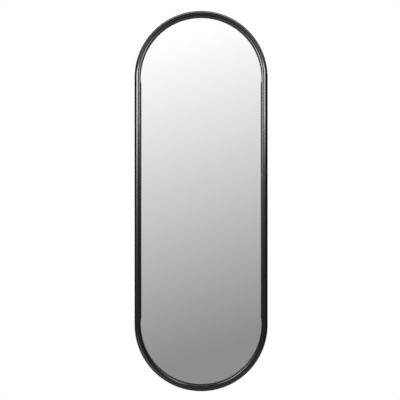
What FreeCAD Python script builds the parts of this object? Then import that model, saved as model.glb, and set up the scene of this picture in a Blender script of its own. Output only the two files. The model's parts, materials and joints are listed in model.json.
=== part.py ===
import FreeCAD, Part
import math
import os
import Sketcher

# A capsule-shaped wall mirror: a pane in a slim half-round frame, with what holds it in and hangs it up.
# Millimetres, +Z up. The front faces -Y and the room's wall is the plane Y = 0. The origin lies on the wall,
# midway between the two keyholes that the mirror hangs on. A level is a distance forward of the wall, so it
# lies at Y = -level. An inset is a distance in from the mirror's outline. Heights in the sketches count from
# the middle of the mirror, and each piece's placement carries them to the origin.

# Driving sizes

SIZES = [
    ("mirror_height", 1000, "whole mirror, top to bottom"),
    ("mirror_width", 350, "whole mirror, side to side, which is the diameter of its round ends"),
    ("frame_depth", 25, "wall to the crest of the frame"),
    ("face_width", 18, "a rail's face, outline to inner edge"),
    ("crown_height", 8, "half-round front of the section"),
    ("lip_thickness", 2, "lip behind the crown, which holds the pane from the front"),
    ("rim_wall", 3, "rim that stands on the wall"),
    ("ledge_width", 8, "rear ledge that takes the screws"),
    ("ledge_floor", 3, "metal between the ledge's rear face and the chamber"),
    ("ledge_wall", 1.5, "metal at each side of the chamber"),
    ("chamber_depth", 12, "chamber of the section, front to back"),
    ("arc_tail", 10, "straight end of an arc, up to its joint with a rail"),
    ("lip_step", 1.9, "how much less an arc's face is at its ends than a rail's"),
    ("apex_gain", 0.4, "how much more an arc's face is at its middle than a rail's"),
    ("trim_allowance", 1, "spare metal on an arc's lip before it is trimmed"),
    ("lip_runout", 12, "length in which a rail's lip eases to the arc's"),
    ("pane_clearance", 0.5, "gap between the ledge and the edges of the pane and board"),
    ("tape_thickness", 1, "cushion tape between lip and pane"),
    ("tape_width", 3, "cushion tape"),
    ("glass_thickness", 4, "silvered pane"),
    ("film_thickness", 0.2, "safety film on the back of the pane"),
    ("foam_thickness", 1.8, "foam sheet between film and board"),
    ("board_thickness", 3, "backing board"),
    ("key_reach", 9, "splice key, to each side of its joint"),
    ("key_clearance", 0.1, "gap between a splice key and the chamber"),
    ("grub_radius", 1.45, "grub screw"),
    ("grub_length", 2.8, "grub screw"),
    ("grub_setback", 5, "joint to the middle of a grub screw"),
    ("socket_flats", 1.5, "hexagon socket, across its flats"),
    ("socket_depth", 1.3, "hexagon socket"),
    ("hole_clearance", 0.05, "gap round a screw in its hole"),
    ("shank_radius", 1.4, "pan-head screw"),
    ("shank_length", 5.6, "pan-head screw, below its head"),
    ("head_radius", 2.8, "pan head"),
    ("head_height", 1.9, "pan head, at its middle"),
    ("head_edge", 0.7, "pan head, at its edge"),
    ("recess_width", 0.8, "arm of the cross recess"),
    ("recess_length", 3, "cross recess, end to end"),
    ("recess_depth", 1, "cross recess"),
    ("button_thickness", 1.5, "turn button"),
    ("button_width", 6.6, "turn button"),
    ("button_reach", 14.5, "turn button, pivot to tip"),
    ("button_gap", 0.05, "gap in front of a turn button and behind it"),
    ("boss_radius", 1.7, "finger boss near the tip of a turn button"),
    ("boss_height", 0.8, "finger boss"),
    ("boss_round", 0.4, "finger boss, at its edge"),
    ("button_spacing", 65, "middle of a hanger plate down to the next turn button"),
    ("hanger_length", 60, "hanger plate, top to bottom"),
    ("hanger_width", 28, "hanger plate, side to side"),
    ("hanger_sheet", 1.5, "hanger plate's metal"),
    ("hanger_gap", 0.7, "gap between the rim and a hanger plate"),
    ("hanger_flange", 13, "foot of a hanger plate, which takes a screw"),
    ("hanger_slope", 4, "run of the sloped step between foot and bridge"),
    ("hanger_corner", 3, "rounded corner of a foot"),
    ("hanger_setback", 40, "top of a rail down to the middle of a hanger plate"),
    ("keyhole_inset", 22, "outline to the middle of a keyhole"),
    ("keyhole_drop", 6, "middle of a hanger plate down to the keyhole's round entry"),
    ("entry_radius", 5, "keyhole, its round entry"),
    ("slot_radius", 2.5, "keyhole, its slot"),
    ("slot_rise", 14, "keyhole, middle of the entry to the middle of the slot's end"),
    ("bumper_radius", 6, "wall bumper"),
    ("bumper_round", 1.5, "wall bumper, at its edge"),
    ("bumper_spread", 90, "middle of the mirror to a bumper"),
    ("bumper_rise", 130, "bottom of the mirror up to a bumper"),
]

doc = FreeCAD.newDocument("wall_mirror")
sizes = doc.addObject("Spreadsheet::Sheet", "Sizes")
for row, (alias, size, meaning) in enumerate(SIZES, start=1):
    sizes.set(f"A{row}", str(size))
    sizes.setAlias(f"A{row}", alias)
    sizes.set(f"B{row}", meaning)
doc.recompute()

# Levels, insets and heights that follow from the driving sizes, as expressions

CROWN_BASE = "(Sizes.frame_depth - Sizes.crown_height)"
CROWN_RADIUS = "((Sizes.crown_height ^ 2 + Sizes.face_width ^ 2 / 4) / (2 * Sizes.crown_height))"
LIP_BACK = f"({CROWN_BASE} - Sizes.lip_thickness)"
GLASS_FRONT = f"({LIP_BACK} - Sizes.tape_thickness)"
GLASS_BACK = f"({GLASS_FRONT} - Sizes.glass_thickness)"
FILM_BACK = f"({GLASS_BACK} - Sizes.film_thickness)"
FOAM_BACK = f"({FILM_BACK} - Sizes.foam_thickness)"
BOARD_BACK = f"({FOAM_BACK} - Sizes.board_thickness)"
LEDGE = BOARD_BACK
CHAMBER_BACK = f"({LEDGE} + Sizes.ledge_floor)"
CHAMBER_MIDDLE = f"({CHAMBER_BACK} + Sizes.chamber_depth / 2)"

HALF_WIDTH = "(Sizes.mirror_width / 2)"
LEDGE_INSET = "(Sizes.rim_wall + Sizes.ledge_width)"
SCREW_INSET = "(Sizes.rim_wall + Sizes.ledge_width / 2)"
PANE_INSET = f"({LEDGE_INSET} + Sizes.pane_clearance)"
TAPE_INSET = f"({PANE_INSET} + Sizes.tape_width)"
ARC_LIP_INSET = "(Sizes.face_width + Sizes.apex_gain + Sizes.trim_allowance)"
HANGER_INSET = "(Sizes.rim_wall + Sizes.hanger_gap + Sizes.hanger_width / 2)"

TOP = "(Sizes.mirror_height / 2)"
ARC_CENTRE = f"({TOP} - {HALF_WIDTH})"
JOINT = f"({ARC_CENTRE} - Sizes.arc_tail)"
HANGER_HEIGHT = f"({JOINT} - Sizes.hanger_setback)"
KEYHOLE_HEIGHT = f"({HANGER_HEIGHT} - Sizes.keyhole_drop)"
BUTTON_HEIGHT = f"({HANGER_HEIGHT} - Sizes.button_spacing)"
FOOT_HEIGHT = "((Sizes.hanger_length - Sizes.hanger_flange) / 2)"
BUMPER_HEIGHT = f"(Sizes.bumper_rise - {TOP})"

TRIM_SHIFT = "(Sizes.lip_step + Sizes.apex_gain)"
TRIM_RADIUS = f"({HALF_WIDTH} - Sizes.face_width + Sizes.lip_step)"
JOINT_EDGE = f"sqrt({TRIM_RADIUS} ^ 2 - (Sizes.arc_tail - {TRIM_SHIFT}) ^ 2)"

SCREW_HOLE = "(Sizes.shank_radius + Sizes.hole_clearance)"
GRUB_HOLE = "(Sizes.grub_radius + Sizes.hole_clearance)"
LEDGE_X = f"({HALF_WIDTH} - {SCREW_INSET})"

HALF_TURN = 180
FULL_TURN = 360
SIXTH_TURN = FULL_TURN / 6
SIDES = {"left": -1, "right": 1}
ENDS = {"top": 1, "bottom": -1}

# The points of a line or arc, in the order that constraints count them
POINTS = ("edge", "start", "end", "centre")


# Sketches and features

def value(expression):
    """The number that an expression has now."""
    return float(sizes.evalExpression(expression))


def point(x, y):
    """The place in a sketch that two expressions give."""
    return FreeCAD.Vector(value(x), value(y), 0)


def add_body(name):
    """Starts a piece, and names it."""
    body = doc.addObject("PartDesign::Body", name)
    body.Label = name
    return body


def origin_plane(body, role):
    """One of a body's own three planes."""
    return next(plane for plane in body.Origin.OriginFeatures if plane.Role == role)


def add_sketch(body, name, role, offset="0"):
    """Starts a sketch on a plane of its body, moved along its normal, which is -Y for the XZ plane."""
    sketch = body.newObject("Sketcher::SketchObject", name)
    sketch.AttachmentSupport = [(origin_plane(body, role), "")]
    sketch.MapMode = "FlatFace"
    sketch.setExpression("AttachmentOffset.Base.z", offset)
    return sketch


def tie(sketch, kind, geometry, name, expression):
    """Holds one coordinate of a named point of a line, arc or circle at an expression."""
    origin = (-1, POINTS.index("start"))
    held = Sketcher.Constraint(kind, *origin, geometry, POINTS.index(name), value(expression))
    number = sketch.addConstraint(held)
    sketch.setExpression(f"Constraints[{number}]", expression)


def arc_between(start, end, centre_y, turn):
    """The arc from start to end with its centre at centre_y, anticlockwise where turn is 1."""
    squares = start.x**2 - end.x**2 + (start.y - centre_y) ** 2 - (end.y - centre_y) ** 2
    centre = FreeCAD.Vector(squares / (2 * (start.x - end.x)), centre_y, 0)
    circle = Part.Circle(centre, FreeCAD.Vector(0, 0, 1), centre.distanceToPoint(start))
    angles = [math.atan2(tip.y - centre.y, tip.x - centre.x) for tip in (start, end)]
    return Part.ArcOfCircle(circle, *angles[::turn])


def add_loop(sketch, corners, arcs=None):
    """Draws a closed loop through corners, pairs of expressions, and ties each corner to its pair.

    arcs maps a side's number to the height of its centre and its turn, which is 1 for anticlockwise.
    """
    arcs = arcs or {}
    first = sketch.GeometryCount
    places = [point(x, y) for x, y in corners]
    ends = []
    for number, start in enumerate(places):
        end = places[(number + 1) % len(places)]
        if number in arcs:
            height, turn = arcs[number]
            sketch.addGeometry(arc_between(start, end, value(height), turn))
            ends.append(("start", "end")[::turn])
        else:
            sketch.addGeometry(Part.LineSegment(start, end))
            ends.append(("start", "end"))
    for number, (x, y) in enumerate(corners):
        side = first + number
        after = (number + 1) % len(corners)
        meeting = (side, POINTS.index(ends[number][1]), first + after, POINTS.index(ends[after][0]))
        sketch.addConstraint(Sketcher.Constraint("Coincident", *meeting))
        tie(sketch, "DistanceX", side, ends[number][0], x)
        tie(sketch, "DistanceY", side, ends[number][0], y)
        if number in arcs:
            tie(sketch, "DistanceY", side, "centre", arcs[number][0])


def add_circle(sketch, x, y, radius):
    """Draws a circle and ties its centre and radius to expressions."""
    circle = Part.Circle(point(x, y), FreeCAD.Vector(0, 0, 1), value(radius))
    number = sketch.addGeometry(circle)
    tie(sketch, "DistanceX", number, "centre", x)
    tie(sketch, "DistanceY", number, "centre", y)
    size = sketch.addConstraint(Sketcher.Constraint("Radius", number, value(radius)))
    sketch.setExpression(f"Constraints[{size}]", radius)


def add_capsule(sketch, inset):
    """Draws the mirror's outline, moved in by an inset."""
    right = f"({HALF_WIDTH} - {inset})"
    left = f"-{right}"
    corners = [(right, f"-{ARC_CENTRE}"), (right, ARC_CENTRE), (left, ARC_CENTRE), (left, f"-{ARC_CENTRE}")]
    add_loop(sketch, corners, {1: (ARC_CENTRE, 1), 3: (f"-{ARC_CENTRE}", 1)})


def add_pad(body, sketch, length, backwards=False, symmetric=False):
    """Raises a sketch along its normal, or backwards, or to both sides of its plane."""
    pad = body.newObject("PartDesign::Pad", f"{sketch.Name}_pad")
    pad.Profile = sketch
    pad.setExpression("Length", length)
    pad.Reversed = backwards
    pad.SideType = "Symmetric" if symmetric else "One side"
    return pad


def add_revolution(body, sketch, angle, backwards=False):
    """Turns a sketch about its own vertical axis."""
    revolution = body.newObject("PartDesign::Revolution", f"{sketch.Name}_revolution")
    revolution.Profile = sketch
    revolution.ReferenceAxis = (sketch, ["V_Axis"])
    revolution.Angle = angle
    revolution.Reversed = backwards
    return revolution


def add_pocket(body, sketch, length=None, forwards=True):
    """Cuts a sketch into a body, along its normal where forwards, and right through with no length."""
    doc.recompute()
    before = body.Shape.Volume
    pocket = body.newObject("PartDesign::Pocket", f"{sketch.Name}_pocket")
    pocket.Profile = sketch
    pocket.Reversed = forwards
    if length is None:
        pocket.Type = "ThroughAll"
    else:
        pocket.setExpression("Length", length)
    doc.recompute()
    if body.Shape.Volume >= before:
        raise ValueError(f"{body.Label}: {sketch.Name} cuts nothing")
    return pocket


def add_mirrored(body, feature, role):
    """Repeats a feature on the other side of one of its body's planes."""
    mirrored = body.newObject("PartDesign::Mirrored", f"{feature.Name}_mirrored")
    mirrored.Originals = [feature]
    mirrored.MirrorPlane = (origin_plane(body, role), [""])
    body.Tip = mirrored


def add_fillet(body, radius, chosen):
    """Rounds the edges of a body that a test chooses."""
    doc.recompute()
    base = body.Tip
    names = [f"Edge{number}" for number, edge in enumerate(base.Shape.Edges, start=1) if chosen(edge)]
    fillet = body.newObject("PartDesign::Fillet", f"{base.Name}_fillet")
    fillet.Base = (base, names)
    fillet.setExpression("Radius", radius)


def place(item, x="0", y="0", height="0", angle=0):
    """Puts a piece at a height above the middle of the mirror, turned about the depth axis."""
    item.Placement = FreeCAD.Placement(FreeCAD.Vector(), FreeCAD.Rotation(FreeCAD.Vector(0, 1, 0), angle))
    item.setExpression(".Placement.Base.x", x)
    item.setExpression(".Placement.Base.y", y)
    item.setExpression(".Placement.Base.z", f"{height} - {KEYHOLE_HEIGHT}")


def group(name, body, places):
    """Makes one piece of copies of a body, each at its x, y and height."""
    copies = []
    for x, y, height in places:
        copy = doc.addObject("App::Link", f"{name}_copy")
        copy.LinkedObject = body
        copy.LinkTransform = True
        place(copy, x, y, height)
        copies.append(copy)
    compound = doc.addObject("Part::Compound", name)
    compound.Label = name
    compound.Links = copies
    return compound


# Frame: one hollow section, with a half-round crown, a lip before the pane, a ledge and a rim

def across(side, corners):
    """Turns insets and levels into places in a level sketch, on the left or right side of the mirror."""
    return [(f"{side} * ({HALF_WIDTH} - {inset})", f"-{level}") for inset, level in corners]


def add_section(sketch, side, lip):
    """Draws the section across a rail, outline first; lip holds its inner corners, as insets and levels."""
    profile = [("0", "0"), ("0", CROWN_BASE), *lip]
    profile += [(LEDGE_INSET, LIP_BACK), (LEDGE_INSET, LEDGE)]
    profile += [("Sizes.rim_wall", LEDGE), ("Sizes.rim_wall", "0")]
    chamber_outer = "(Sizes.rim_wall + Sizes.ledge_wall)"
    chamber_inner = f"({LEDGE_INSET} - Sizes.ledge_wall)"
    chamber_front = f"({CHAMBER_BACK} + Sizes.chamber_depth)"
    chamber = [(chamber_outer, CHAMBER_BACK), (chamber_inner, CHAMBER_BACK)]
    chamber += [(chamber_inner, chamber_front), (chamber_outer, chamber_front)]
    crown_centre = f"({CROWN_RADIUS} - Sizes.frame_depth)"
    add_loop(sketch, across(side, profile), {1: (crown_centre, -side)})
    add_loop(sketch, across(side, chamber))


def drill_ledge(body, holes):
    """Drills the ledge's rear wall into the chamber at each x, height and radius."""
    sketch = add_sketch(body, "ledge_holes", "XZ_Plane", LEDGE)
    for x, height, radius in holes:
        add_circle(sketch, x, height, radius)
    add_pocket(body, sketch, f"{CHAMBER_MIDDLE} - {LEDGE}")


def make_arc(end, up):
    """A bent end of the frame, with its two straight tails and its lip trimmed off the outline's centre."""
    body = add_body(f"frame_{end}_arc")
    lip = [("Sizes.face_width", CROWN_BASE), (ARC_LIP_INSET, CROWN_BASE), (ARC_LIP_INSET, LIP_BACK)]
    sections = []
    for name in ("bend_section", "tail_section"):
        sketch = add_sketch(body, name, "XY_Plane", f"{up} * {ARC_CENTRE}")
        add_section(sketch, 1, lip)
        sections.append(sketch)
    add_revolution(body, sections[0], HALF_TURN, backwards=up > 0)
    tail = add_pad(body, sections[1], "Sizes.arc_tail", backwards=up > 0)
    add_mirrored(body, tail, "YZ_Plane")

    trim = add_sketch(body, "lip_trim", "XZ_Plane")
    add_circle(trim, "0", f"{up} * ({ARC_CENTRE} - {TRIM_SHIFT})", TRIM_RADIUS)
    add_pocket(body, trim)

    grub_height = f"{up} * ({JOINT} + Sizes.grub_setback)"
    grub_holes = [(f"{side} * {LEDGE_X}", grub_height, GRUB_HOLE) for side in SIDES.values()]
    drill_ledge(body, [("0", f"{up} * ({TOP} - {SCREW_INSET})", SCREW_HOLE), *grub_holes])
    place(body)
    return body


def rail_button_heights():
    """Heights of the turn buttons on a rail, from the top down."""
    return [BUTTON_HEIGHT, "0", f"-{BUTTON_HEIGHT}"]


def make_rail(name, side):
    """A straight side of the frame, with its lip eased at both ends to meet the narrower arcs."""
    body = add_body(f"frame_{name}_rail")
    section = add_sketch(body, "section", "XY_Plane")
    add_section(section, side, [("Sizes.face_width", CROWN_BASE), ("Sizes.face_width", LIP_BACK)])
    add_pad(body, section, f"2 * {JOINT}", symmetric=True)

    runout = add_sketch(body, "lip_runout", "XZ_Plane")
    edge = f"{side} * ({HALF_WIDTH} - Sizes.face_width)"
    step = f"{side} * {JOINT_EDGE}"
    clear = f"{side} * ({HALF_WIDTH} - Sizes.face_width - Sizes.trim_allowance)"
    start = f"({JOINT} - Sizes.lip_runout)"
    past = f"({JOINT} + Sizes.trim_allowance)"
    corners = [(edge, start), (step, JOINT), (step, past), (clear, past), (clear, start)]
    add_loop(runout, corners, {0: (start, -side)})
    add_mirrored(body, add_pocket(body, runout), "XY_Plane")

    x = f"{side} * {LEDGE_X}"
    foot_heights = [f"{HANGER_HEIGHT} + {foot} * {FOOT_HEIGHT}" for foot in ENDS.values()]
    holes = [(x, height, SCREW_HOLE) for height in rail_button_heights() + foot_heights]
    holes += [(x, f"{end} * ({JOINT} - Sizes.grub_setback)", GRUB_HOLE) for end in ENDS.values()]
    drill_ledge(body, holes)
    place(body)
    return body


# Splices: a key in the chamber across each joint, clamped by two grub screws

def make_splice_key(end, up, name, side):
    """A bar that fills the chamber to both sides of a joint."""
    body = add_body(f"splice_key_{end}_{name}")
    section = add_sketch(body, "section", "XY_Plane", f"{up} * {JOINT}")
    outer = "(Sizes.rim_wall + Sizes.ledge_wall + Sizes.key_clearance)"
    inner = f"({LEDGE_INSET} - Sizes.ledge_wall - Sizes.key_clearance)"
    back = f"({CHAMBER_BACK} + Sizes.key_clearance)"
    front = f"({CHAMBER_BACK} + Sizes.chamber_depth - Sizes.key_clearance)"
    add_loop(section, across(side, [(outer, back), (inner, back), (inner, front), (outer, front)]))
    add_pad(body, section, "2 * Sizes.key_reach", symmetric=True)
    place(body)
    return body


def make_grub_screw():
    """A headless screw with a hexagon socket, its tip at the origin and its socket towards +Y."""
    body = add_body("grub_screw")
    circle = add_sketch(body, "circle", "XZ_Plane")
    add_circle(circle, "0", "0", "Sizes.grub_radius")
    add_pad(body, circle, "Sizes.grub_length", backwards=True)
    socket = add_sketch(body, "socket", "XZ_Plane", "-Sizes.grub_length")
    corner_radius = f"(Sizes.socket_flats / 2 / cos({SIXTH_TURN / 2}))"
    turns = [SIXTH_TURN * corner for corner in range(6)]
    add_loop(socket, [(f"{corner_radius} * cos({turn})", f"{corner_radius} * sin({turn})") for turn in turns])
    add_pocket(body, socket, "Sizes.socket_depth")
    return body


def grub_screw_places():
    """Where the grub screws stand: two on each joint, with their tips on the splice key."""
    tip = f"-({CHAMBER_BACK} + Sizes.key_clearance)"
    return [
        (f"{side} * {LEDGE_X}", tip, f"{end} * ({JOINT} + {away} * Sizes.grub_setback)")
        for end in ENDS.values()
        for side in SIDES.values()
        for away in (1, -1)
    ]


# Pane and backing: sheets of the same outline, one behind the other

def make_sheet(name, back, thickness):
    """A sheet that fills the frame's rebate, from its back level forwards."""
    body = add_body(name)
    outline = add_sketch(body, "outline", "XZ_Plane", back)
    add_capsule(outline, PANE_INSET)
    add_pad(body, outline, thickness)
    place(body)
    return body


def make_cushion_tape():
    """A flat ring of soft tape round the edge of the pane's front."""
    body = add_body("cushion_tape")
    ring = add_sketch(body, "ring", "XZ_Plane", GLASS_FRONT)
    add_capsule(ring, PANE_INSET)
    add_capsule(ring, TAPE_INSET)
    add_pad(body, ring, "Sizes.tape_thickness")
    place(body)
    return body


# Turn buttons and the pan-head screws

def make_pan_screw():
    """A pan-head screw along Y, with the underside of its head at the origin and its head towards +Y."""
    body = add_body("pan_screw")
    half = add_sketch(body, "half", "XY_Plane")
    crown = "(Sizes.head_height - Sizes.head_edge)"
    crown_radius = f"((Sizes.head_radius ^ 2 + {crown} ^ 2) / (2 * {crown}))"
    corners = [
        ("0", "-Sizes.shank_length"),
        ("Sizes.shank_radius", "-Sizes.shank_length"),
        ("Sizes.shank_radius", "0"),
        ("Sizes.head_radius", "0"),
        ("Sizes.head_radius", "Sizes.head_edge"),
        ("0", "Sizes.head_height"),
    ]
    add_loop(half, corners, {4: (f"(Sizes.head_height - {crown_radius})", 1)})
    add_revolution(body, half, FULL_TURN)

    recess = add_sketch(body, "recess", "XZ_Plane", "-Sizes.head_height")
    arm = "(Sizes.recess_length / 2)"
    wide = "(Sizes.recess_width / 2)"
    corners = []
    for turn in range(4):
        for x, y in ((arm, f"-{wide}"), (arm, wide), (wide, wide)):
            for _ in range(turn):
                x, y = f"(-{y})", x
            corners.append((x, y))
    add_loop(recess, corners)
    add_pocket(body, recess, "Sizes.recess_depth")
    return body


def turn_button_places():
    """Name, x, height and turn of each button: three on a rail and one on an arc, all pointing inwards."""
    buttons = []
    for end, up in ENDS.items():
        buttons.append((end, "0", f"{up} * ({TOP} - {SCREW_INSET})", 0 if up > 0 else HALF_TURN))
    for name, side in SIDES.items():
        for level, height in zip(("upper", "middle", "lower"), rail_button_heights()):
            buttons.append((f"{name}_{level}", f"{side} * {LEDGE_X}", height, side * HALF_TURN / 2))
    return buttons


def make_turn_button(name, x, height, angle):
    """A flat lever with its pivot at its own origin, pointing down before it is turned."""
    body = add_body(f"turn_button_{name}")
    radius = "(Sizes.button_width / 2)"
    tip = f"({radius} - Sizes.button_reach)"
    lever = add_sketch(body, "lever", "XZ_Plane")
    corners = [(radius, tip), (radius, "0"), (f"-{radius}", "0"), (f"-{radius}", tip)]
    add_loop(lever, corners, {1: ("0", 1), 3: (tip, 1)})
    add_circle(lever, "0", "0", SCREW_HOLE)
    add_pad(body, lever, "Sizes.button_thickness", backwards=True)

    boss = add_sketch(body, "boss", "XZ_Plane", "-Sizes.button_thickness")
    add_circle(boss, "0", tip, "Sizes.boss_radius")
    add_pad(body, boss, "Sizes.boss_height", backwards=True)
    top = value("Sizes.button_thickness + Sizes.boss_height")
    tiny = Part.Precision.confusion()
    add_fillet(body, "Sizes.boss_round", lambda edge: abs(edge.BoundBox.YMin - top) < tiny)
    place(body, x, f"Sizes.button_gap - {LEDGE}", height, angle)
    return body


# Hangers: bridge-shaped plates with a keyhole, their bridges level with the rim

def make_hanger_plate(name, side):
    """A plate whose two feet stand on the ledge and board, and whose bridge holds the keyhole."""
    body = add_body(f"hanger_plate_{name}")
    foot_back = f"({LEDGE} - Sizes.hanger_sheet)"
    slope_length = f"sqrt({foot_back} ^ 2 + Sizes.hanger_slope ^ 2)"
    bend = f"(Sizes.hanger_sheet * ({slope_length} - Sizes.hanger_slope) / {foot_back})"
    end = "(Sizes.hanger_length / 2)"
    knee = f"({end} - Sizes.hanger_flange)"
    bridge = f"({knee} - Sizes.hanger_slope)"
    rear = [(foot_back, end), (foot_back, knee), ("0", bridge)]
    front = [("Sizes.hanger_sheet", f"({bridge} - {bend})"), (LEDGE, f"({knee} - {bend})"), (LEDGE, end)]
    rear_side = rear + [(level, f"-{height}") for level, height in rear[::-1]]
    front_side = [(level, f"-{height}") for level, height in front[::-1]] + front
    profile = add_sketch(body, "profile", "YZ_Plane")
    add_loop(profile, [(f"-{level}", height) for level, height in rear_side + front_side])
    add_pad(body, profile, "Sizes.hanger_width", symmetric=True)

    foot_end = value(end)
    add_fillet(body, "Sizes.hanger_corner", lambda edge: is_corner(edge, foot_end))

    cuts = add_sketch(body, "keyhole", "XZ_Plane")
    x = f"{side} * ({HANGER_INSET} - Sizes.keyhole_inset)"
    entry = "(-Sizes.keyhole_drop)"
    mouth = f"({entry} + sqrt(Sizes.entry_radius ^ 2 - Sizes.slot_radius ^ 2))"
    slot_end = f"({entry} + Sizes.slot_rise)"
    right = f"({x} + Sizes.slot_radius)"
    left = f"({x} - Sizes.slot_radius)"
    corners = [(right, mouth), (right, slot_end), (left, slot_end), (left, mouth)]
    add_loop(cuts, corners, {1: (slot_end, 1), 3: (entry, 1)})
    for foot in ENDS.values():
        add_circle(cuts, f"{side} * ({HANGER_INSET} - {SCREW_INSET})", f"{foot} * {FOOT_HEIGHT}", SCREW_HOLE)
    add_pocket(body, cuts)
    place(body, f"{side} * ({HALF_WIDTH} - {HANGER_INSET})", "0", HANGER_HEIGHT)
    return body


def is_corner(edge, height):
    """Whether an edge runs along the depth at the end of a plate that reaches this height."""
    box = edge.BoundBox
    along_depth = max(box.XLength, box.ZLength) < Part.Precision.confusion()
    return along_depth and abs(abs(box.ZMin) - height) < Part.Precision.confusion()


def hanger_screw_places():
    """Where the hanger screws stand, with their heads on the plates' feet."""
    seat = f"(Sizes.hanger_sheet - {LEDGE})"
    return [
        (f"{side} * {LEDGE_X}", seat, f"{HANGER_HEIGHT} + {foot} * {FOOT_HEIGHT}")
        for side in SIDES.values()
        for foot in ENDS.values()
    ]


# Bumpers: soft feet between the board and the wall

def make_wall_bumper(name, side):
    """A round foot along Y, from the board to the wall."""
    body = add_body(f"wall_bumper_{name}")
    half = add_sketch(body, "half", "XY_Plane")
    board = f"(-{BOARD_BACK})"
    shoulder = "(Sizes.bumper_radius - Sizes.bumper_round)"
    corners = [
        ("0", board),
        ("Sizes.bumper_radius", board),
        ("Sizes.bumper_radius", "-Sizes.bumper_round"),
        (shoulder, "0"),
        ("0", "0"),
    ]
    add_loop(half, corners, {2: ("-Sizes.bumper_round", 1)})
    add_revolution(body, half, FULL_TURN)
    place(body, f"{side} * Sizes.bumper_spread", "0", BUMPER_HEIGHT)
    return body


# Assembly

pieces = [make_arc(end, up) for end, up in ENDS.items()]
pieces += [make_rail(name, side) for name, side in SIDES.items()]
pieces += [make_splice_key(end, up, name, side) for end, up in ENDS.items() for name, side in SIDES.items()]
pieces.append(group("splice_grub_screws", make_grub_screw(), grub_screw_places()))
pieces.append(make_cushion_tape())
pieces.append(make_sheet("mirror_glass", GLASS_BACK, "Sizes.glass_thickness"))
pieces.append(make_sheet("safety_film", FILM_BACK, "Sizes.film_thickness"))
pieces.append(make_sheet("foam_sheet", FOAM_BACK, "Sizes.foam_thickness"))
pieces.append(make_sheet("backing_board", BOARD_BACK, "Sizes.board_thickness"))
pan_screw = make_pan_screw()
button_places = turn_button_places()
pieces += [make_turn_button(*button) for button in button_places]
button_head = f"(2 * Sizes.button_gap + Sizes.button_thickness - {LEDGE})"
pieces.append(group("turn_button_screws", pan_screw, [(x, button_head, z) for _, x, z, _ in button_places]))
pieces += [make_hanger_plate(name, side) for name, side in SIDES.items()]
pieces.append(group("hanger_screws", pan_screw, hanger_screw_places()))
pieces += [make_wall_bumper(name, side) for name, side in SIDES.items()]
doc.recompute()

for item in doc.Objects:
    if {"Invalid", "Error"} & set(item.State):
        raise ValueError(f"{item.Label} could not be built")
for piece in pieces:
    if piece.Shape.isNull() or not piece.Shape.isValid():
        raise ValueError(f"{piece.Label} is not a sound solid")

os.makedirs("parts", exist_ok=True)
for piece in pieces:
    piece.Shape.exportStep(f"parts/{piece.Label}.step")
    print(f"{piece.Label}: {len(piece.Shape.Solids)} solids, {piece.Shape.Volume / 1000:.2f} cm3")
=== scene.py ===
import json
import math

import bpy
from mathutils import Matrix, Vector


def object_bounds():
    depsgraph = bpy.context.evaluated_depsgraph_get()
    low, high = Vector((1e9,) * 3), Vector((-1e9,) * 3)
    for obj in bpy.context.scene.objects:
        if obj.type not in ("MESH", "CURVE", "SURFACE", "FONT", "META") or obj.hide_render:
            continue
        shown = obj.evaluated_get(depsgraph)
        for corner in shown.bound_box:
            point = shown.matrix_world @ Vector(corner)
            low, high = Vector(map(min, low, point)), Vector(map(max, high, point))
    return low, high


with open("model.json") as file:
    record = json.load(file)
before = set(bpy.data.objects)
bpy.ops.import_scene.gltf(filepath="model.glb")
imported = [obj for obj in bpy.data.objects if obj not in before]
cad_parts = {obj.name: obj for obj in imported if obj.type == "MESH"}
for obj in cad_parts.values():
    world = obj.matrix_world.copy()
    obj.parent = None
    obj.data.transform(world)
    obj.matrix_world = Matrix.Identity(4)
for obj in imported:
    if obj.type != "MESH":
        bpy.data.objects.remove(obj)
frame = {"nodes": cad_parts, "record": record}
nodes = frame["nodes"]
cad_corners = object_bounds()

# Places, in metres: the mirror faces -Y, and its middle lies below the keyholes that it hangs on
low, high = cad_corners
MIDDLE = (low + high) / 2
CREST = low.y
HALF_WIDTH = (high.x - low.x) / 2
ARC_RISE = (high.z - low.z) / 2 - HALF_WIDTH
SIDES = {"left": -1, "right": 1}

# The frame's half-round front and the lip behind it, as in the CAD
FRAME_NODES = ("frame_top_arc", "frame_bottom_arc", "frame_left_rail", "frame_right_rail")
FACE_WIDTH = 0.018
CROWN_HEIGHT = 0.008
CROWN_RADIUS = (CROWN_HEIGHT**2 + FACE_WIDTH**2 / 4) / (2 * CROWN_HEIGHT)
LIP_THICKNESS = 0.002
LIP_FRONT = CREST + CROWN_HEIGHT
LIP_BACK = LIP_FRONT + LIP_THICKNESS


# Shader nodes: most of a noise lies in the main part of its range

MAIN_GRAIN = (0.3, 0.7)
EVEN = (1, 1, 1)
MICRON = 1e-6


def grey(level):
    """A colour with the same red, green and blue."""
    return (level, level, level)


def shader_of(material):
    """A material's principled shader."""
    return material.node_tree.nodes["Principled BSDF"]


def new_material(name):
    """A material with its principled shader, and the part's own coordinates in metres."""
    material = bpy.data.materials.new(name)
    material.use_nodes = True
    tree = material.node_tree
    place = tree.nodes.new("ShaderNodeTexCoord").outputs["Object"]
    return material, tree, shader_of(material), place


def split_coordinates(tree, kind):
    """The X, Y and Z sockets of one kind of coordinates."""
    split = tree.nodes.new("ShaderNodeSeparateXYZ")
    tree.links.new(tree.nodes.new("ShaderNodeTexCoord").outputs[kind], split.inputs["Vector"])
    return split.outputs


def noise(tree, place, scale, detail=2.0, stretch=EVEN):
    """Grain with a number of lumps to the metre, drawn out along an axis where stretch is small."""
    mapping = tree.nodes.new("ShaderNodeMapping")
    mapping.inputs["Scale"].default_value = stretch
    tree.links.new(place, mapping.inputs["Vector"])
    texture = tree.nodes.new("ShaderNodeTexNoise")
    texture.inputs["Scale"].default_value = scale
    texture.inputs["Detail"].default_value = detail
    tree.links.new(mapping.outputs["Vector"], texture.inputs["Vector"])
    return texture.outputs["Fac"]


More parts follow.
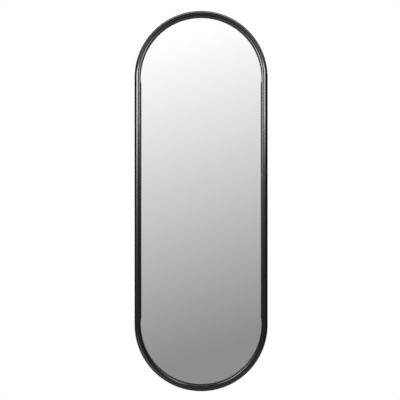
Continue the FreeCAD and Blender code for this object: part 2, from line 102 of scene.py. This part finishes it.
def map_range(tree, given, span, levels, interpolation):
    """A number that goes from the first level to the second while a socket goes through a span."""
    node = tree.nodes.new("ShaderNodeMapRange")
    node.interpolation_type = interpolation
    for socket, number in zip(("From Min", "From Max", "To Min", "To Max"), (*span, *levels)):
        node.inputs[socket].default_value = number
    tree.links.new(given, node.inputs["Value"])
    return node.outputs["Result"]


def between(tree, factor, levels):
    """A number that runs from one level to the other over the main part of a grain."""
    return map_range(tree, factor, MAIN_GRAIN, levels, "LINEAR")


def ease(tree, given, span, levels):
    """A number that leaves the first level and reaches the second softly, over a socket's span."""
    return map_range(tree, given, span, levels, "SMOOTHSTEP")


def tint(tree, factor, dark, light):
    """A colour that runs from dark to light over the main part of a grain."""
    ramp = tree.nodes.new("ShaderNodeValToRGB")
    for stop, position, colour in zip(ramp.color_ramp.elements, MAIN_GRAIN, (dark, light)):
        stop.position = position
        stop.color = (*colour, 1)
    tree.links.new(factor, ramp.inputs["Fac"])
    return ramp.outputs["Color"]


def calculate(tree, operation, first, second=0.0):
    """The result of a sum, product or the like of two sockets or numbers."""
    node = tree.nodes.new("ShaderNodeMath")
    node.operation = operation
    for socket, given in zip(node.inputs, (first, second)):
        if isinstance(given, bpy.types.NodeSocket):
            tree.links.new(given, socket)
        else:
            socket.default_value = given
    return node.outputs["Value"]


def mix(tree, factor, first, second):
    """A blend of two sockets or numbers, all of the second where the factor is 1."""
    kept = calculate(tree, "MULTIPLY", calculate(tree, "SUBTRACT", 1.0, factor), first)
    return calculate(tree, "ADD", kept, calculate(tree, "MULTIPLY", factor, second))


def add_bump(tree, shader, factor, depth):
    """Raises the surface by a grain of this depth in metres."""
    bump = tree.nodes.new("ShaderNodeBump")
    bump.inputs["Distance"].default_value = depth
    tree.links.new(factor, bump.inputs["Height"])
    tree.links.new(bump.outputs["Normal"], shader.inputs["Normal"])


def surface(name, scale, dark, light, roughness, depth, detail=2.0, stretch=EVEN, metallic=0.0):
    """A material whose grain moves its colour, roughness and height."""
    material, tree, shader, place = new_material(name)
    factor = noise(tree, place, scale, detail, stretch)
    tree.links.new(tint(tree, factor, dark, light), shader.inputs["Base Color"])
    tree.links.new(between(tree, factor, roughness), shader.inputs["Roughness"])
    shader.inputs["Metallic"].default_value = metallic
    add_bump(tree, shader, factor, depth)
    return material


# Materials of the mirror

def black_lacquer():
    """Gloss black, with the faint orange peel of a sprayed coat."""
    material, tree, shader, place = new_material("black_lacquer")
    shader.inputs["Base Color"].default_value = (0.006, 0.006, 0.0062, 1)
    shader.inputs["IOR"].default_value = 1.5
    cloud = noise(tree, place, scale=60, detail=3.0)
    tree.links.new(between(tree, cloud, (0.07, 0.09)), shader.inputs["Roughness"])
    peel = noise(tree, place, scale=700, detail=1.0)
    add_bump(tree, shader, peel, 2 * MICRON)
    return material


def lip_edge():
    """Thin, matt coat on the cut edge of the lip, which the spray hardly reaches."""
    material = surface(
        "lip_edge",
        scale=500,
        dark=grey(0.004),
        light=grey(0.008),
        roughness=(0.6, 0.75),
        depth=10 * MICRON,
    )
    shader_of(material).inputs["Specular IOR Level"].default_value = 0.1
    return material


def silvered_pane():
    """Silver behind clear glass, with the least trace of wiping."""
    material, tree, shader, place = new_material("silvered_pane")
    shader.inputs["Base Color"].default_value = (0.93, 0.935, 0.932, 1)
    shader.inputs["Metallic"].default_value = 1
    wiping = noise(tree, place, scale=9, stretch=(1, 1, 0.3))
    tree.links.new(between(tree, wiping, (0.0, 0.012)), shader.inputs["Roughness"])
    return material


def hardboard():
    """Pressed brown fibre, which lies mostly along the board."""
    return surface(
        "hardboard",
        scale=260,
        detail=6.0,
        stretch=(1, 1, 0.35),
        dark=(0.16, 0.095, 0.052),
        light=(0.27, 0.17, 0.10),
        roughness=(0.62, 0.85),
        depth=120 * MICRON,
    )


def foam():
    """Pale foam with fine cells."""
    return surface(
        "foam",
        scale=900,
        dark=(0.80, 0.80, 0.79),
        light=(0.90, 0.90, 0.89),
        roughness=(0.8, 0.95),
        depth=200 * MICRON,
    )


def film():
    """Grey plastic film, a little wavy where it is bonded on."""
    return surface(
        "film",
        scale=120,
        dark=(0.40, 0.42, 0.43),
        light=(0.46, 0.48, 0.49),
        roughness=(0.3, 0.45),
        depth=20 * MICRON,
    )


def tape():
    """Soft black tape of the cushion between the lip and the pane."""
    return surface(
        "tape",
        scale=1200,
        dark=grey(0.012),
        light=grey(0.03),
        roughness=(0.8, 0.95),
        depth=100 * MICRON,
    )


def extruded_key():
    """Bare aluminium, with the lines of its die."""
    return surface(
        "extruded_key",
        scale=800,
        stretch=(1, 1, 0.05),
        dark=(0.60, 0.60, 0.61),
        light=(0.75, 0.75, 0.76),
        roughness=(0.3, 0.45),
        depth=20 * MICRON,
        metallic=1.0,
    )


def black_oxide():
    """Blackened steel of the grub screws."""
    return surface(
        "black_oxide",
        scale=1500,
        dark=(0.03, 0.03, 0.032),
        light=(0.07, 0.07, 0.075),
        roughness=(0.4, 0.6),
        depth=10 * MICRON,
        metallic=1.0,
    )


def zinc_plate():
    """Rolled and zinc-plated sheet, with flat crystals in slightly different greys."""
    material, tree, shader, place = new_material("zinc_plate")
    crystals = tree.nodes.new("ShaderNodeTexVoronoi")
    crystals.inputs["Scale"].default_value = 450
    tree.links.new(place, crystals.inputs["Vector"])
    greys = tint(tree, crystals.outputs["Color"], dark=(0.50, 0.51, 0.53), light=(0.72, 0.73, 0.75))
    tree.links.new(greys, shader.inputs["Base Color"])
    rolled = noise(tree, place, scale=900, stretch=(1, 1, 0.1))
    tree.links.new(between(tree, rolled, (0.28, 0.42)), shader.inputs["Roughness"])
    shader.inputs["Metallic"].default_value = 1
    add_bump(tree, shader, rolled, 10 * MICRON)
    return material


def passivated_zinc():
    """Zinc-plated steel of the pan-head screws, yellowed in patches."""
    return surface(
        "passivated_zinc",
        scale=700,
        detail=3.0,
        dark=(0.62, 0.56, 0.40),
        light=(0.78, 0.76, 0.70),
        roughness=(0.25, 0.4),
        depth=10 * MICRON,
        metallic=1.0,
    )


def rubber():
    """Black rubber of the feet."""
    return surface(
        "rubber",
        scale=1500,
        detail=3.0,
        dark=grey(0.02),
        light=grey(0.045),
        roughness=(0.6, 0.8),
        depth=50 * MICRON,
    )


LOOKS = {
    "frame_lacquer": black_lacquer(),
    "silvered_glass": silvered_pane(),
    "board": hardboard(),
    "foam": foam(),
    "film": film(),
    "tape": tape(),
    "key_metal": extruded_key(),
    "dark_screw": black_oxide(),
    "zinc_sheet": zinc_plate(),
    "zinc_screw": passivated_zinc(),
    "bumper": rubber(),
}


def dress_nodes():
    """Gives each CAD node the look of its slot in the record."""
    for subpart in frame["record"]["subparts"]:
        mesh = nodes[subpart["node"]].data
        mesh.materials.clear()
        mesh.materials.append(LOOKS[subpart["material_slot"]])


# The frame's lip edge and crown: the slacks allow for the mesh's flat faces and rounding

LIP_SLACK = 0.0002
SQUARE_SLACK = 0.1
CROWN_SLACK = CROWN_RADIUS / 50
SAME_WAY_COSINE = 0.9


def is_lip_edge(face):
    """Whether a face of the frame is the lip's inner edge, which faces the middle of the mirror."""
    inward = face.normal.dot(Vector((face.center.x, 0, face.center.z - MIDDLE.z))) < 0
    square = abs(face.normal.y) < SQUARE_SLACK
    at_lip = LIP_FRONT - LIP_SLACK < face.center.y < LIP_BACK + LIP_SLACK
    return inward and square and at_lip


def mark_lip_edges():
    """Gives the inner edge of the frame's lip its matt look."""
    look = lip_edge()
    for name in FRAME_NODES:
        mesh = nodes[name].data
        edge_slot = len(mesh.materials)
        mesh.materials.append(look)
        for face in mesh.polygons:
            if is_lip_edge(face):
                face.material_index = edge_slot


def crown_normal(place):
    """The exact normal of the frame's front at a place on it, or None off the crown."""
    above = place.z - MIDDLE.z
    past_straight = above - max(-ARC_RISE, min(ARC_RISE, above))
    outward = Vector((place.x, 0, past_straight))
    across = outward.length - (HALF_WIDTH - FACE_WIDTH / 2)
    normal = outward.normalized() * across
    normal.y = place.y - (CREST + CROWN_RADIUS)
    on_crown = abs(normal.length - CROWN_RADIUS) < CROWN_SLACK and place.y < LIP_FRONT
    return normal.normalized() if on_crown else None


def smooth_crowns():
    """Gives the crown's faces the normals of its section, so that it mirrors the lights evenly."""
    for name in FRAME_NODES:
        mesh = nodes[name].data
        normals = [corner.vector.copy() for corner in mesh.corner_normals]
        for face in mesh.polygons:
            for corner in face.loop_indices:
                exact = crown_normal(mesh.vertices[mesh.loops[corner].vertex_index].co)
                if exact and exact.dot(face.normal) > SAME_WAY_COSINE:
                    normals[corner] = exact
        mesh.normals_split_custom_set(normals)


# Camera: square to the mirror, and as far off its middle as the photo's frame is

CAMERA_AWAY = 3.2
VIEW_WIDTH = 1.0487
OFF_MIDDLE = 0.0029
AIM = Vector((-OFF_MIDDLE, CREST, MIDDLE.z + OFF_MIDDLE))


def add_camera():
    """Stands the camera before the place that it aims at, with a lens that takes in the view's width."""
    data = bpy.data.cameras.new("camera")
    camera = bpy.data.objects.new("camera", data)
    bpy.context.scene.collection.objects.link(camera)
    camera.location = AIM - Vector((0, CAMERA_AWAY, 0))
    camera.rotation_euler = (math.radians(90), 0, 0)
    data.lens = data.sensor_width * CAMERA_AWAY / VIEW_WIDTH
    bpy.context.scene.camera = camera


# World: the background's white, the even light, and what gloss shows

BACKGROUND = 1.0
AMBIENT = 0.62

# The room before the mirror: heights are those on the pane, from its middle, where the camera sees it
# Slopes and sides are distances upwards and aside for each metre ahead
ROOM_BRIGHT_HEIGHT = 0.37
ROOM_DIM_HEIGHT = -0.46
ROOM_DIM_LEVEL = 0.29
ROOM_GAIN = 0.76
ROOM_CURVE = 1.2
ROOM_FALL_TO_RIGHT = 0.32
ROOM_SIDES = (0.17, 0.28)
PANE_LEFT = -0.157
CEILING_SLOPES = (0.2, 0.5)
CEILING_LEVELS = (1.1, 0.3)

# What lies around that room, by how far a direction of length 1 goes to the front or up
BEHIND = (-0.75, -0.5)
BEHIND_LEVELS = (0.5, 0.06)
AHEAD = (0.55, 0.9)
AHEAD_GAIN = (0.0, 0.2)
GROUND = (-0.5, -0.15)
GROUND_LEVEL = 0.6


def room_level(tree, aside, slope):
    """The room's brightness, which falls downwards and to the right, and towards the ceiling."""
    bright = ROOM_BRIGHT_HEIGHT / CAMERA_AWAY
    dim = ROOM_DIM_HEIGHT / CAMERA_AWAY
    past_left = calculate(tree, "SUBTRACT", aside, PANE_LEFT / CAMERA_AWAY)
    fall = calculate(tree, "MULTIPLY", past_left, ROOM_FALL_TO_RIGHT)
    tilted = calculate(tree, "SUBTRACT", slope, fall)
    rise = calculate(tree, "DIVIDE", calculate(tree, "SUBTRACT", tilted, dim), bright - dim)
    curve = calculate(tree, "POWER", calculate(tree, "MAXIMUM", rise, 0.0), ROOM_CURVE)
    walls = calculate(tree, "ADD", calculate(tree, "MULTIPLY", curve, ROOM_GAIN), ROOM_DIM_LEVEL)
    return calculate(tree, "MINIMUM", walls, ease(tree, slope, CEILING_SLOPES, CEILING_LEVELS))


def surroundings_level(tree, front, up):
    """The brightness around the room: dim at the sides, paler behind, ahead and on the ground."""
    behind = ease(tree, front, BEHIND, BEHIND_LEVELS)
    level = calculate(tree, "ADD", behind, ease(tree, front, AHEAD, AHEAD_GAIN))
    on_ground = ease(tree, up, GROUND, (1.0, 0.0))
    return mix(tree, on_ground, level, GROUND_LEVEL)


def light_world():
    """White behind the mirror, even light on it, and in gloss the room before it and what lies around."""
    world = bpy.data.worlds.new("studio")
    bpy.context.scene.world = world
    world.use_nodes = True
    tree = world.node_tree
    right, into, up = split_coordinates(tree, "Generated")
    front = calculate(tree, "MULTIPLY", into, -1.0)
    slope = calculate(tree, "DIVIDE", up, front)
    aside = calculate(tree, "DIVIDE", right, front)

    facing = calculate(tree, "GREATER_THAN", front, 0.0)
    within_sides = ease(tree, calculate(tree, "ABSOLUTE", aside), ROOM_SIDES, (1.0, 0.0))
    in_room = calculate(tree, "MULTIPLY", facing, within_sides)
    around = surroundings_level(tree, front, up)
    mirrored = mix(tree, in_room, around, room_level(tree, aside, slope))

    rays = tree.nodes.new("ShaderNodeLightPath").outputs
    lit = mix(tree, rays["Is Glossy Ray"], AMBIENT, mirrored)
    seen = calculate(tree, "MAXIMUM", rays["Is Camera Ray"], rays["Is Transmission Ray"])
    background = tree.nodes["Background"]
    background.inputs["Color"].default_value = (*grey(1), 1)
    tree.links.new(mix(tree, seen, lit, BACKGROUND), background.inputs["Strength"])


# Panels: lights and cards that aren't part of the mirror

ONE_FACE = [(0, 1, 2, 3)]


def upright(start, end, bottom, top, y):
    """Corners of an upright rectangle that faces the mirror, between two places along X."""
    return [(start, y, bottom), (end, y, bottom), (end, y, top), (start, y, top)]


def lying(start, end, front, back, z):
    """Corners of a level rectangle, between two places along X."""
    return [(start, front, z), (end, front, z), (end, back, z), (start, back, z)]


def along_outline(turns, inner, outer, y):
    """Pairs of places, at two distances outside the mirror's outline, for turns from straight up."""
    places = []
    for turn in turns:
        outward = Vector((math.sin(turn), 0, math.cos(turn)))
        centre = Vector((0, y, MIDDLE.z + math.copysign(ARC_RISE, outward.z)))
        places += [centre + outward * (HALF_WIDTH + inner), centre + outward * (HALF_WIDTH + outer)]
    return places


def strip_faces(count, closed=False):
    """Faces that join each pair of places to the next, and the last pair to the first where closed."""
    starts = range(0, count if closed else count - 2, 2)
    return [(k, k + 1, (k + 3) % count, (k + 2) % count) for k in starts]


def add_panel(name, places, look, faces=ONE_FACE):
    """A flat or bent panel that isn't part of the mirror."""
    mesh = bpy.data.meshes.new(name)
    mesh.from_pydata(places, [], faces)
    mesh.materials.append(look)
    panel = bpy.data.objects.new(name, mesh)
    bpy.context.scene.collection.objects.link(panel)
    return panel


def collect(name, members):
    """A collection of nodes that some panels light."""
    collection = bpy.data.collections.new(name)
    for member in members:
        collection.objects.link(nodes[member])
    return collection


def show_in_gloss_only(panel, receivers=None):
    """Shows a panel in gloss alone, that of the receivers, so that other light keeps its plain level."""
    panel.visible_camera = False
    panel.visible_diffuse = False
    panel.visible_transmission = False
    panel.visible_shadow = False
    panel.light_linking.receiver_collection = receivers


def glow(name, level):
    """Light that shows what is behind it; level is its strength, or makes it from the place in metres."""
    material = bpy.data.materials.new(name)
    material.use_nodes = True
    tree = material.node_tree
    tree.nodes.remove(shader_of(material))
    emission = tree.nodes.new("ShaderNodeEmission")
    if callable(level):
        strength = level(tree, split_coordinates(tree, "Object"))
        tree.links.new(strength, emission.inputs["Strength"])
    else:
        emission.inputs["Strength"].default_value = level
    both = tree.nodes.new("ShaderNodeAddShader")
    tree.links.new(emission.outputs["Emission"], both.inputs[0])
    tree.links.new(tree.nodes.new("ShaderNodeBsdfTransparent").outputs["BSDF"], both.inputs[1])
    tree.links.new(both.outputs["Shader"], tree.nodes["Material Output"].inputs["Surface"])
    return material


def halving(strength, start, step, slant=0.0):
    """A level that halves with each step, up or down, past a start that falls with X by the slant."""
    def level(tree, place):
        height = calculate(tree, "ADD", place["Z"], calculate(tree, "MULTIPLY", place["X"], slant))
        steps = calculate(tree, "DIVIDE", calculate(tree, "SUBTRACT", height, start), step)
        share = calculate(tree, "POWER", 0.5, calculate(tree, "MAXIMUM", steps, 0.0))
        return calculate(tree, "MULTIPLY", share, strength)
    return level


# Softboxes, which only the frame shows: one before each side fades downwards, with its spill above it

SOFTBOX_Y = CREST - 0.5
SOFTBOX_BOTTOM = MIDDLE.z - 0.7
SOFTBOX_TOP = MIDDLE.z + 0.44
SOFTBOX_SPANS = {"left": (-0.24, -0.66), "right": (0.20, 0.44)}
SOFTBOX_LEVELS = {
    "left": halving(19.0, start=MIDDLE.z + 0.46, step=-0.1, slant=-0.5),
    "right": halving(18.0, start=MIDDLE.z + 0.26, step=-0.06),
}
SPILL_FAR = 1.4
SPILL_TOP = SOFTBOX_TOP + 0.6
SPILL_LEVEL = halving(4.0, start=SOFTBOX_TOP, step=0.13)

# A dim card low at the left
CARD_SPAN = (-1.3, -0.25)
CARD_BOTTOM = MIDDLE.z - 1.1
CARD_TOP = MIDDLE.z - 0.47
CARD_LEVEL = 0.9

# The long softbox overhead
OVERHEAD_REACH = 1.5
OVERHEAD_FRONT = -0.13
OVERHEAD_BACK = -0.02
OVERHEAD_Z = high.z + 0.35
OVERHEAD_LEVEL = 9.0


def add_softboxes():
    """The softboxes before the mirror and overhead, and the dim card."""
    frame_only = collect("frame_only", FRAME_NODES)

    def add_light(name, places, level):
        show_in_gloss_only(add_panel(name, places, glow(name, level)), frame_only)

    for name, side in SIDES.items():
        near, far = SOFTBOX_SPANS[name]
        places = upright(near, far, SOFTBOX_BOTTOM, SOFTBOX_TOP, SOFTBOX_Y)
        add_light(f"softbox_{name}", places, SOFTBOX_LEVELS[name])
        places = upright(near, side * SPILL_FAR, SOFTBOX_TOP, SPILL_TOP, SOFTBOX_Y)
        add_light(f"spill_{name}", places, SPILL_LEVEL)
    add_light("card_left", upright(*CARD_SPAN, CARD_BOTTOM, CARD_TOP, SOFTBOX_Y), CARD_LEVEL)
    places = lying(-OVERHEAD_REACH, OVERHEAD_REACH, OVERHEAD_FRONT, OVERHEAD_BACK, OVERHEAD_Z)
    add_light("softbox_top", places, OVERHEAD_LEVEL)


# Side walls of the room, which only the pane shows: turns are in degrees from straight ahead

WALL_AWAY = 3.0
WALL_BOTTOM = MIDDLE.z - 3.0
WALL_TOP = MIDDLE.z + 3.0
WALL_TURNS = range(10, 91, 5)
WALL_FADE = (MIDDLE.z - 1.2, MIDDLE.z + 0.6)
WALL_LEVELS = (0.1, 0.8)


def wall_level(tree, place):
    """A wall's brightness, which grows upwards."""
    return ease(tree, place["Z"], WALL_FADE, WALL_LEVELS)


def add_side_walls():
    """Pale walls to the left and right of the room, which the pane shows when it is seen from a side."""
    pane_only = collect("pane_only", ("mirror_glass",))
    look = glow("side_wall", wall_level)
    for name, side in SIDES.items():
        places = []
        for turn in map(math.radians, WALL_TURNS):
            x = side * WALL_AWAY * math.sin(turn)
            y = -WALL_AWAY * math.cos(turn)
            places += [(x, y, WALL_BOTTOM), (x, y, WALL_TOP)]
        wall = add_panel(f"side_wall_{name}", places, look, strip_faces(len(places)))
        show_in_gloss_only(wall, pane_only)


# Black cards, by distances outside the outline: the strips' turns are in degrees from straight up

RING_INNER = -0.0017
RING_OUTER = 1.0
RING_Y = CREST + 0.0032
RING_STEPS = 256
STRIP_INNER = -0.004
STRIP_OUTER = 0.012
STRIP_Y = CREST + 0.0005
STRIP_TURNS = range(76, 105, 4)


def add_flags():
    """A black ring round the outline, and strips before the rails, which keep softboxes off the flanks."""
    look = surface(
        "flag",
        scale=40,
        detail=3.0,
        dark=grey(0.0),
        light=grey(0.001),
        roughness=(0.9, 1.0),
        depth=100 * MICRON,
    )
    turns = [2 * math.pi * (step + 0.5) / RING_STEPS for step in range(RING_STEPS)]
    places = along_outline(turns, RING_INNER, RING_OUTER, RING_Y)
    show_in_gloss_only(add_panel("flag", places, look, strip_faces(len(places), closed=True)))
    for name, side in SIDES.items():
        turns = [side * math.radians(turn) for turn in STRIP_TURNS]
        places = along_outline(turns, STRIP_INNER, STRIP_OUTER, STRIP_Y)
        show_in_gloss_only(add_panel(f"flag_{name}", places, look, strip_faces(len(places))))


# Lamps and floor

LAMP_SIZE = 1.5
LAMP_POWER = 26.0
LAMP_ASIDE = 1.3
LAMP_AWAY = 2.2
LAMP_ABOVE = 1.3
FLOOR_DROP = 0.8
FLOOR_REACH = 1.8
FLOOR_FADE = (FLOOR_REACH / 3, FLOOR_REACH)


def add_lamps():
    """A soft lamp before the mirror and one behind it, high up and on opposite sides."""
    for name, side in (("front", -1), ("back", 1)):
        light = bpy.data.lights.new(f"lamp_{name}", "AREA")
        light.size = LAMP_SIZE
        light.energy = LAMP_POWER
        lamp = bpy.data.objects.new(f"lamp_{name}", light)
        bpy.context.scene.collection.objects.link(lamp)
        offset = Vector((side * LAMP_ASIDE, side * LAMP_AWAY, LAMP_ABOVE))
        lamp.location = MIDDLE + offset
        lamp.rotation_euler = (-offset).to_track_quat("-Z", "Y").to_euler()
        lamp.visible_camera = False
        lamp.visible_glossy = False


def add_floor():
    """A pale floor, well below the mirror, that fades out towards its rim."""
    look = surface(
        "floor",
        scale=40,
        detail=3.0,
        dark=grey(0.86),
        light=grey(0.90),
        roughness=(0.7, 0.8),
        depth=200 * MICRON,
    )
    tree = look.node_tree
    sideways = tree.nodes.new("ShaderNodeMapping")
    sideways.inputs["Scale"].default_value = (1, 1, 0)
    tree.links.new(tree.nodes.new("ShaderNodeTexCoord").outputs["Object"], sideways.inputs["Vector"])
    distance = tree.nodes.new("ShaderNodeVectorMath")
    distance.operation = "LENGTH"
    tree.links.new(sideways.outputs["Vector"], distance.inputs["Vector"])
    rim = ease(tree, distance.outputs["Value"], FLOOR_FADE, (1.0, 0.0))
    tree.links.new(rim, shader_of(look).inputs["Alpha"])
    places = lying(-FLOOR_REACH, FLOOR_REACH, -FLOOR_REACH, FLOOR_REACH, low.z - FLOOR_DROP)
    add_panel("floor", places, look)


dress_nodes()
mark_lip_edges()
smooth_crowns()
light_world()
add_softboxes()
add_side_walls()
add_flags()
add_lamps()
add_floor()
add_camera()
bpy.context.scene.view_settings.view_transform = "Standard"
